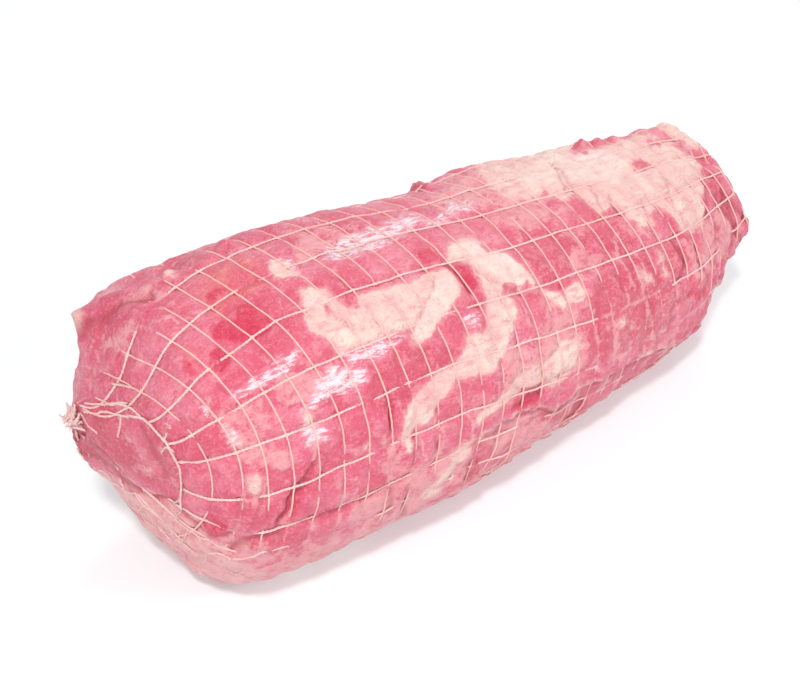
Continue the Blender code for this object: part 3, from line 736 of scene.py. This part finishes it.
# Grid of the meat: closer together on the side that the photograph shows
NU, FRONT_COUNT, REAR_COUNT = 328, 200, 84
FRONT_FROM, FRONT_TO = -65, 145
u_line = POLE_GAP + (1 - 2 * POLE_GAP) * np.linspace(0.0, 1.0, NU + 1)
a_line = np.concatenate([np.linspace(FRONT_FROM, FRONT_TO, FRONT_COUNT, endpoint=False),
                         np.linspace(FRONT_TO, FRONT_FROM + 360, REAR_COUNT, endpoint=False)])
NT = len(a_line)
U, A = np.meshgrid(u_line, a_line, indexing="ij")
P0 = surface(U, A)
_, _, OUT = frames(U, A)
FACING = ((EYE - P0) * OUT).sum(-1) > 0
X0, Y0 = picture(P0)

# Everything drawn in the photograph wanders a little from its outline
WANDER = [2.2 * clouds(P0, 6, seed, 3) for seed in (20.5, 40.5)]
FX, FY = (X0 + WANDER[0])[FACING], (Y0 + WANDER[1])[FACING]


def carry(values, fade):
    """Fill the hidden sides from their nearest seen point, fading by the millimetre."""
    full = np.full(U.shape, -FAR)
    full[FACING] = values
    for i in range(U.shape[0]):
        seen = np.flatnonzero(FACING[i])
        hidden = np.flatnonzero(~FACING[i])
        if len(seen) == 0:
            full[i] = full[i - 1] - 0.4
        elif len(hidden):
            gap = np.linalg.norm(P0[i][hidden][:, None] - P0[i][seen][None], axis=-1)
            near = gap.argmin(axis=1)
            full[i, hidden] = full[i, seen[near]] - fade * gap[np.arange(len(hidden)), near]
    return full


def drawn(outlines):
    """Millimetres inside the nearest of some outlines, carried round the hidden side."""
    best = np.full(FX.shape, -FAR)
    for outline in outlines:
        best = np.maximum(best, inside(FX, FY, outline))
    return np.clip(carry(best, 0.7), -FAR, FAR)


def soft(outlines, width):
    return clamp(drawn(outlines) / width + 0.5)


def from_line(line):
    """Millimetres from a drawn line, on the side that shows."""
    away = np.full(U.shape, 1e9)
    away[FACING] = line_distance(FX, FY, line) / PX
    return away


def spot(x, y):
    """Place along and angle of the point of the smooth roll that the photograph shows at a pixel."""
    near = np.where(FACING, np.hypot(X0 - x, Y0 - y), 1e9).argmin()
    return float(U.ravel()[near]), float(A.ravel()[near])


LUMP_PLACES = [(surface(*map(np.array, spot(x, y))), tall, wide) for x, y, tall, wide in LUMPS]


def lumps(points):
    """Height of the drawn lumps and hollows at points."""
    total = np.zeros(points.shape[:-1])
    for centre, tall, wide in LUMP_PLACES:
        d = np.linalg.norm(points - centre, axis=-1) / wide
        total += tall * clamp(1 - d ** 2) ** 1.5
    return total


def hidden_patches():
    """Millimetres inside the fat patches of the hidden sides, which are spread by chance."""
    best = np.full(U.shape, -FAR)
    ragged, uneven = 9 * clouds(P0, 24, 61.0, 2), 9 * clouds(P0, 24, 71.0, 2)
    for _ in range(HIDDEN_PATCHES):
        cu, ca = rng.uniform(0.06, 0.94), rng.uniform(160, 300)
        la, lb, tilt = rng.uniform(10, 30), rng.uniform(6, 14), rng.uniform(-0.7, 0.7)
        ds = (U - cu) * LONG + 3 * WANDER[0] + ragged
        dt = turn(A - ca) * ARC + 3 * WANDER[1] + uneven
        p, q = ds * math.cos(tilt) + dt * math.sin(tilt), dt * math.cos(tilt) - ds * math.sin(tilt)
        best = np.maximum(best, (1 - np.hypot(p / la, q / lb)) * min(la, lb))
    return best


def net_gaps():
    """Millimetres from the nearest lengthwise and ring thread, and how far each mesh swells."""
    before, after = surface(clamp(U - 0.002), A), surface(clamp(U + 0.002), A)
    along_mm = np.linalg.norm(after - before, axis=-1) / 0.004
    round_mm = np.linalg.norm(surface(U, A + 0.5) - surface(U, A - 0.5), axis=-1)
    draw_ring = ring_place(0, A)
    side, ring, low, high = (np.full(U.shape, 1e9) for _ in range(4))
    left, right = np.full(U.shape, 360.0), np.full(U.shape, 360.0)
    for j in range(N):
        d = turn(A - thread_angle(j, U))
        away = np.abs(d) * round_mm
        if j in OPEN_THREADS:
            away = np.where(U < draw_ring - 0.004, 99, away)
        side = np.minimum(side, away)
        left = np.where(d >= 0, np.minimum(left, d), left)
        right = np.where(d < 0, np.minimum(right, -d), right)
    for k in range(RINGS):
        d = (U - ring_place(k, A)) * along_mm
        if k == 0:
            ring = np.where((turn(A) > -20) & (turn(A) < 65), np.abs(d), 99)
        else:
            ring = np.minimum(ring, np.abs(d))
        low = np.where(d >= 0, np.minimum(low, d), low)
        high = np.where(d < 0, np.minimum(high, -d), high)
    p = left / np.maximum(left + right, 1e-6)
    q = clamp(low / np.maximum(low + high, 1e-6))
    swell = clamp(np.sin(np.pi * p)) ** 0.8 * np.sin(np.pi * q) ** 0.8
    return side, ring, np.where((U < draw_ring) | (U > ring_place(RINGS - 1, A)), 0.3, swell)


def skin_faces(count):
    """Faces between the rows of the grid, and a fan round the middle of each end."""
    faces = []
    for i in range(NU):
        for k in range(NT):
            m = (k + 1) % NT
            faces.append((i * NT + k, i * NT + m, (i + 1) * NT + m, (i + 1) * NT + k))
    for k in range(NT):
        m = (k + 1) % NT
        faces.append((count, m, k))
        faces.append((count + 1, NU * NT + k, NU * NT + m))
    return faces


# Fat, in millimetres inside its edge
seen_depth = carry(np.full(FX.shape, 0.0), 1.0)
fat = np.minimum(drawn(FAT), -drawn(LEAN))
fat = np.maximum(fat, np.where(seen_depth < -4, hidden_patches(), -FAR))
fat = np.clip(fat, -FAR, FAR)

# Strength of the other colours of the meat, from 0 to 1
big, mid, small = clouds(P0, *BROAD), clouds(P0, *UNEVEN), clouds(P0, 3.2, 1.3, 2)
behind = clamp(-seen_depth / 12)
veil = np.maximum(soft(VEIL, 7), behind * clamp(big * 2.0 + 0.2))
red = np.maximum(soft(RED, 3), behind * clamp(mid * 2.2 - 0.9))
dark_and_shade = np.maximum(soft(DARK_AND_SHADE, 4), behind * clamp(-big * 1.8 - 0.1))
orange = soft(ORANGE, 8)
# Wet places: glossy coat, and painted highlight glints in the colour
wet_and_glint = clamp(drawn(WET_AND_GLINT) / 6 + 0.35) * clamp(1 - fat / 2)
sunk = soft(SUNK, 1.0)
bright = 0.85 * soft(WHITE_FAT, 4.0)
# Pale grains, partly painted sparkle highlights, more on the wet places
speck_and_sparkle = 0.25 * wet_and_glint + np.clip(0.25 * clouds(P0, 26, 88.0, 2) + 0.1, 0, 0.4)
# Painted light: paler towards the bottom, as if lit from the floor, and the real pale skin below the knotted
# end
bounce_light_and_skin = clamp(0.75 - P0[..., 2] / 38 + 0.25 * mid) * 0.6
bounce_light_and_skin = np.maximum(bounce_light_and_skin, 0.66 * soft(PALE_SKIN, 1.6) * np.clip(1 + 0.5 * mid, 0.5, 1))
for line, wide in SEAMS:
    veil = np.maximum(veil, 1.15 * bell(from_line(line) / (wide * (1 + 0.5 * small))))

# The furrows that the net presses in
side, ring, cell = net_gaps()
grip = np.clip(0.9 + 0.7 * clouds(P0, 30, 60.0, 1), 0.2, 1.6)
swallowed = buried(P0, OUT)
# Painted shade along the threads, weaker where the meat covers them
thread_shade = bell(np.minimum(side / 1.25, ring / 0.95)) * clamp(1 - 0.6 * swallowed)
depth = big + 0.55 * mid + 0.22 * small
depth += 1.05 * cell * grip
depth -= 0.75 * bell(side / 1.5) * clamp(1 - swallowed)
depth -= 0.45 * bell(ring / 1.3) * clamp(1 - swallowed)
depth -= 1.7 * sunk
# A thread under a thin skin shows as a pale line
thin_skin = clamp(swallowed / 0.7) * clamp((2.1 - swallowed) / 0.5)
veil = np.maximum(veil, 0.95 * thin_skin * bell(np.minimum(side / 1.1, ring / 0.9)))

# Creases, the ragged edge of the outer meat, and lumps, with painted shade in the creases and below the edge
crease_shade = np.zeros(U.shape)
for line, deep, wide in CREASES:
    away = from_line(line)
    depth -= deep * bell(away / wide)
    crease_shade = np.maximum(crease_shade, min(0.8, 0.75 * deep) * bell(away / (0.65 * wide)))
away = from_line(SUNK[0][:2 * LEDGE_POINTS])
rim = 0.75 * bell((away - 0.2) / 0.9) * (1 - sunk) * clamp(0.9 + small)
depth += 0.6 * bell(away / 1.4) * (1 - sunk)
# Painted shadow on the lower layer just below the ragged edge
crease_shade = np.maximum(crease_shade, 0.8 * bell((away - 1.0) / 1.3) * sunk * clamp(0.7 + mid))
depth += 0.35 * clamp(fat / 2.5) + 0.55 * clamp(bright * 1.5 - 0.25)
depth += lumps(P0) * (1 + 0.35 * small)
P = P0 + depth[..., None] * OUT

# The flap of meat at the knotted end, drawn out to its tip
flap_root = surface(np.array(EAR_U), np.array(EAR_ANGLE))
pull = np.zeros(U.shape)
for point, strength in zip(surface(EAR_RIDGE[:, 0], EAR_RIDGE[:, 1]), EAR_RIDGE[:, 2]):
    d = np.linalg.norm(P0 - point, axis=-1) / EAR_REACH
    pull = np.maximum(pull, strength * clamp(1 - d) ** 1.5)
P = P + pull[..., None] * (EAR_TIP - flap_root) * EAR_PULL
fat = np.maximum(fat, np.where(pull > 0.5, (pull - 0.62) * 16, -FAR))

# Underneath, threads lie in furrows and the meat between them is pressed flat
pressed = bell(np.minimum(side / 1.9, ring / 1.5))
P[..., 2] = np.maximum(P[..., 2], 0.05 + 1.9 * pressed)

# The meat
verts = P.reshape(-1, 3)
grid_count = len(verts)
verts = np.vstack([verts, P[0].mean(axis=0), P[-1].mean(axis=0)])
meat = mesh_object("meat_roll", verts, skin_faces(grid_count), meat_material())
for name, fields in (("paint_a", (fat, veil, red)), ("paint_b", (dark_and_shade, orange, wet_and_glint)),
                     ("paint_c", (crease_shade, bounce_light_and_skin, rim)), ("paint_d", (bright, speck_and_sparkle, thread_shade))):
    values = np.stack(fields, -1).reshape(-1, 3)
    paint(meat.data, name, np.vstack([values, values[0], values[-1]]))
grain = np.zeros((len(verts), 2))
grain[:grid_count, 0] = (U * LONG * MM).ravel()
grain[:grid_count, 1] = (A * ARC * MM).ravel()
layer = meat.data.uv_layers.new(name="grain")
index = np.zeros(len(meat.data.loops), np.int32)
meat.data.loops.foreach_get("vertex_index", index)
layer.data.foreach_set("uv", grain[index].astype(np.float32).ravel())
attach(meat, "root")
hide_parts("meat")


class Tubes:
    """Sweeps of a round section, gathered into one mesh."""

    def __init__(self):
        self.verts, self.faces, self.count = [], [], 0

    def add(self, points, outs, half, sides=6, closed=False):
        points = np.asarray(points)
        n = len(points)
        if closed:
            ahead, behind = np.roll(points, -1, axis=0), np.roll(points, 1, axis=0)
        else:
            ahead, behind = np.vstack([points[1:], points[-1:]]), np.vstack([points[:1], points[:-1]])
        along = unit(ahead - behind)
        across = unit(np.cross(along, outs))
        outs = unit(np.cross(across, along))
        a = 2 * np.pi * np.arange(sides) / sides
        half = np.broadcast_to(half, (n,))[:, None, None]
        ring = np.cos(a)[None, :, None] * across[:, None, :] + np.sin(a)[None, :, None] * outs[:, None, :]
        base = self.count
        self.verts.append((points[:, None, :] + half * ring).reshape(-1, 3))
        self.count += n * sides
        for i in range(n if closed else n - 1):
            row, after = base + i * sides, base + ((i + 1) % n) * sides
            for s in range(sides):
                t = (s + 1) % sides
                self.faces.append((row + s, after + s, after + t, row + t))
        if not closed:
            self.faces.append(tuple(base + s for s in range(sides)))
            self.faces.append(tuple(base + (n - 1) * sides + s for s in range(sides))[::-1])

    def make(self, name, material):
        obj = mesh_object(name, np.vstack(self.verts), self.faces, material)
        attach(obj, "root")
        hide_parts("netting")


def lift(points, least):
    points = points.copy()
    points[:, 2] = np.maximum(points[:, 2], least)
    return points


def relief(points):
    """Height of the lumpy meat over the smooth roll, without its furrows."""
    return clouds(points, *BROAD) + 0.45 * clouds(points, *UNEVEN) + lumps(points)


# The net: lengthwise threads, ring threads and loose fibres
strands, rings_mesh, fuzz = Tubes(), Tubes(), Tubes()
hair_roots = []


def yarn(points, outs, around, half, phase=0.0, hairs=0.35):
    """Two plies of soft yarn twisted round each other along a path."""
    walked = np.concatenate([[0], np.cumsum(np.linalg.norm(np.diff(points, axis=0), axis=1))])
    twist = 2 * np.pi * walked / PLY_TURN + phase
    half = np.broadcast_to(half, (len(points),))
    for ply in (0, np.pi):
        aside, up = np.cos(twist + ply)[:, None], np.sin(twist + ply)[:, None]
        shift = 0.62 * half[:, None] * (aside * around + 0.55 * up * outs)
        strands.add(lift(points + shift, 0.75), outs, 0.62 * half)
    for i in np.flatnonzero(rng.random(len(points)) < hairs):
        hair_roots.append((points[i] + 0.3 * half[i] * outs[i], outs[i], around[i]))


def lengthwise_thread(j):
    """Thread j, from the draw ring or the near knot to the far knot."""
    first = float(ring_place(0, thread_angle(j, 0.09))) if j in OPEN_THREADS else THREAD_START
    u = np.arange(first, THREAD_END, THREAD_STEP / LONG)
    angle = thread_angle(j, u)
    p0 = surface(u, angle)
    _, around, out = frames(u, angle)
    side_step = 0.45 * clouds(p0, 14, 100.0 + j, 2)
    dip = clamp(clouds(p0, 22, 150.0 + j, 2) - 0.30) * 2.2 + buried(p0, out)
    height = -0.30 + relief(p0) - dip
    crossing = np.zeros(len(u))
    for k in range(RINGS):
        crossing = np.maximum(crossing, bell(((u - ring_place(k, angle)) * LONG) / 1.2))
    path = p0 + height[:, None] * out + side_step[:, None] * around
    half = THREAD_HALF + 0.16 * bell(u / 0.16)
    yarn(lift(path, 1.1), out, around, half * (1 + 0.25 * crossing), phase=j)


def ring_thread(k):
    """Closed thread k round the roll."""
    span = np.linspace(0, 360, RING_STEPS, endpoint=False)
    u = ring_place(k, span)
    p0 = surface(u, span)
    along, _, out = frames(u, span)
    dip = clamp(clouds(p0, 16, 200.0 + k, 2) - 0.22) * 2.0 + buried(p0, out)
    height = -0.22 + relief(p0) - dip
    side_step = 0.35 * clouds(p0, 13, 230.0 + k, 2)
    path = lift(p0 + height[:, None] * out + side_step[:, None] * along, 0.8)
    rings_mesh.add(path, out, RING_HALF, closed=True)
    for i in np.flatnonzero(rng.random(len(path)) < 0.06):
        hair_roots.append((path[i], out[i], along[i]))


def knot(u_end, way):
    """The lengthwise threads run together at a pole into a short frayed bunch."""
    pole = 0.5 * (surface(u_end, 0.0) + surface(u_end, 180.0))
    for _ in range(KNOT_LOOPS):
        t = np.linspace(0, 1, 14)
        a0, twist = rng.uniform(0, 2 * np.pi), rng.uniform(0.6, 2.4)
        radius = rng.uniform(3.0, 7.0) * (1 - 0.75 * t ** 0.6) + 0.8
        y, z = radius * np.cos(a0 + twist * t), radius * np.sin(a0 + twist * t)
        x = 0.3 + t * rng.uniform(2.5, 6.0)
        path = pole + x[:, None] * way + np.stack([0 * t, y, z], -1)
        sideways = unit(np.cross(unit(np.gradient(path, axis=0)), way))
        yarn(path, np.broadcast_to(way, path.shape), sideways, 0.6, hairs=0.8)
    for _ in range(KNOT_ENDS):
        t = np.linspace(0, 1, 8)
        lean_way = unit(way + rng.normal(0, 0.8, 3))
        path = pole + 3.0 * way + np.outer(t * rng.uniform(3.5, 5.5), lean_way)
        path = path + np.outer(t * t, rng.normal(0, 1.2, 3))
        path[:, 0] = np.clip(path[:, 0], *KNOT_LIMITS)
        upward = np.broadcast_to([0, 0, 1.0], path.shape)
        sideways = np.broadcast_to([0, 1.0, 0], path.shape)
        yarn(path, upward, sideways, 0.42, hairs=0.8)


def laid(points, half, seed, rise=0.4):
    """Loose thread through (percent along, angle) places, lying on the meat."""
    q = np.array(points, float)
    t = np.linspace(0, len(q) - 1, 12 * len(q))
    u = np.interp(t, range(len(q)), q[:, 0]) / 100
    angle = np.interp(t, range(len(q)), q[:, 1])
    p0 = surface(u, angle)
    _, around, out = frames(u, angle)
    height = rise + relief(p0) + 0.3 * clouds(p0, 5, seed, 2)
    side_step = clouds(p0, 6, seed + 9, 2)
    path = p0 + height[:, None] * out + side_step[:, None] * around
    yarn(path, out, around, half, hairs=0.7)


def laid_from(line, half, seed, rise):
    """Thread along a line of the photograph."""
    places = [spot(x, y) for x, y in zip(line[::2], line[1::2])]
    laid([(100 * u, float(turn(a))) for u, a in places], half, seed, rise)


for j in range(N):
    lengthwise_thread(j)
for k in range(1, RINGS):
    ring_thread(k)
knot(0.0, np.array([-1.0, 0, 0]))
knot(1.0, np.array([1.0, 0, 0]))
for s, (line, half) in enumerate(END_THREADS):
    laid_from(line, half, 300 + s, 0.35)
for s, line in enumerate(SKIN_THREADS):
    laid_from(line, 0.46, 360 + s, 0.15)

# Loose fibres standing off the threads
for root, out, aside in hair_roots:
    for _ in range(2):
        length = rng.uniform(0.6, 1.9)
        way = unit(rng.choice([-1, 1]) * rng.uniform(0.5, 1.2) * aside + rng.normal(0, 0.45, 3) + 0.30 * out)
        t = np.array([0, 0.5, 1.0])
        path = root + np.outer(t, way * length) + np.outer(t * (1 - t), 0.5 * length * rng.normal(0, 1, 3))
        fuzz.add(lift(path, 0.2), np.broadcast_to(out, path.shape), np.array(HAIR_HALF), sides=3)

strand_mat = thread_material("knitted thread", THREAD_PALE, THREAD_WHITE)
ring_mat = thread_material("elastic thread", RING_TONE, THREAD_PALE)
strands.make("net_lengthwise", strand_mat)
rings_mesh.make("net_rings", ring_mat)
fuzz.make("net_fibres", strand_mat)

# Camera
camera = bpy.data.cameras.new("camera")
camera.sensor_width = SENSOR
camera.lens = FOCAL / PICTURE[0] * SENSOR
camera.clip_start = 0.01
camera_obj = bpy.data.objects.new("camera", camera)
bpy.context.scene.collection.objects.link(camera_obj)
axes = Matrix((Vector(RIGHT), Vector(UP), Vector(BACK))).transposed()
camera_obj.matrix_world = Matrix.Translation(Vector((EYE + SHIFT) * MM)) @ axes.to_4x4()
bpy.context.scene.camera = camera_obj

# Floor, a little bright of itself so that it stays white round the roast
bpy.ops.mesh.primitive_plane_add(size=8, location=(0, 0, 0))
floor = bpy.context.object
floor.name = "floor"
floor.data.materials.append(Nodes("pale floor").finish({
    "Base Color": (0.70, 0.74, 0.75), "Roughness": 0.9, "Specular IOR Level": 0.0,
    "Emission Color": (1, 1, 1), "Emission Strength": FLOOR_GLOW}))


def area(name, direction, distance, width, height, power):
    """Soft light that shines at the roast from a direction, in metres and watts."""
    light = bpy.data.lights.new(name, "AREA")
    light.energy = power
    light.shape = "RECTANGLE"
    light.size, light.size_y = width, height
    aim = Vector((0, 0, LIGHT_AIM))
    place = Vector(direction).normalized() * distance + aim
    o = bpy.data.objects.new(name, light)
    o.location = place
    o.rotation_euler = (aim - place).to_track_quat("-Z", "Y").to_euler()
    bpy.context.scene.collection.objects.link(o)


area("key", (-0.38, -0.34, 0.87), 1.6, 0.16, 0.16, KEY_POWER)
area("back", (0.72, 0.58, 0.38), 1.3, 0.34, 0.14, BACK_POWER)
area("left", (-0.88, -0.30, 0.36), 1.3, 0.60, 0.60, LEFT_POWER)
area("side", (0.34, -0.72, 0.60), 1.3, 0.26, 0.22, SIDE_POWER)

world = bpy.data.worlds.new("studio")
world.use_nodes = True
world.node_tree.nodes["Background"].inputs[0].default_value = (1, 1, 1, 1)
world.node_tree.nodes["Background"].inputs[1].default_value = SKY
bpy.context.scene.world = world
bpy.context.scene.view_settings.view_transform = "Standard"
bpy.context.scene.view_settings.look = "None"
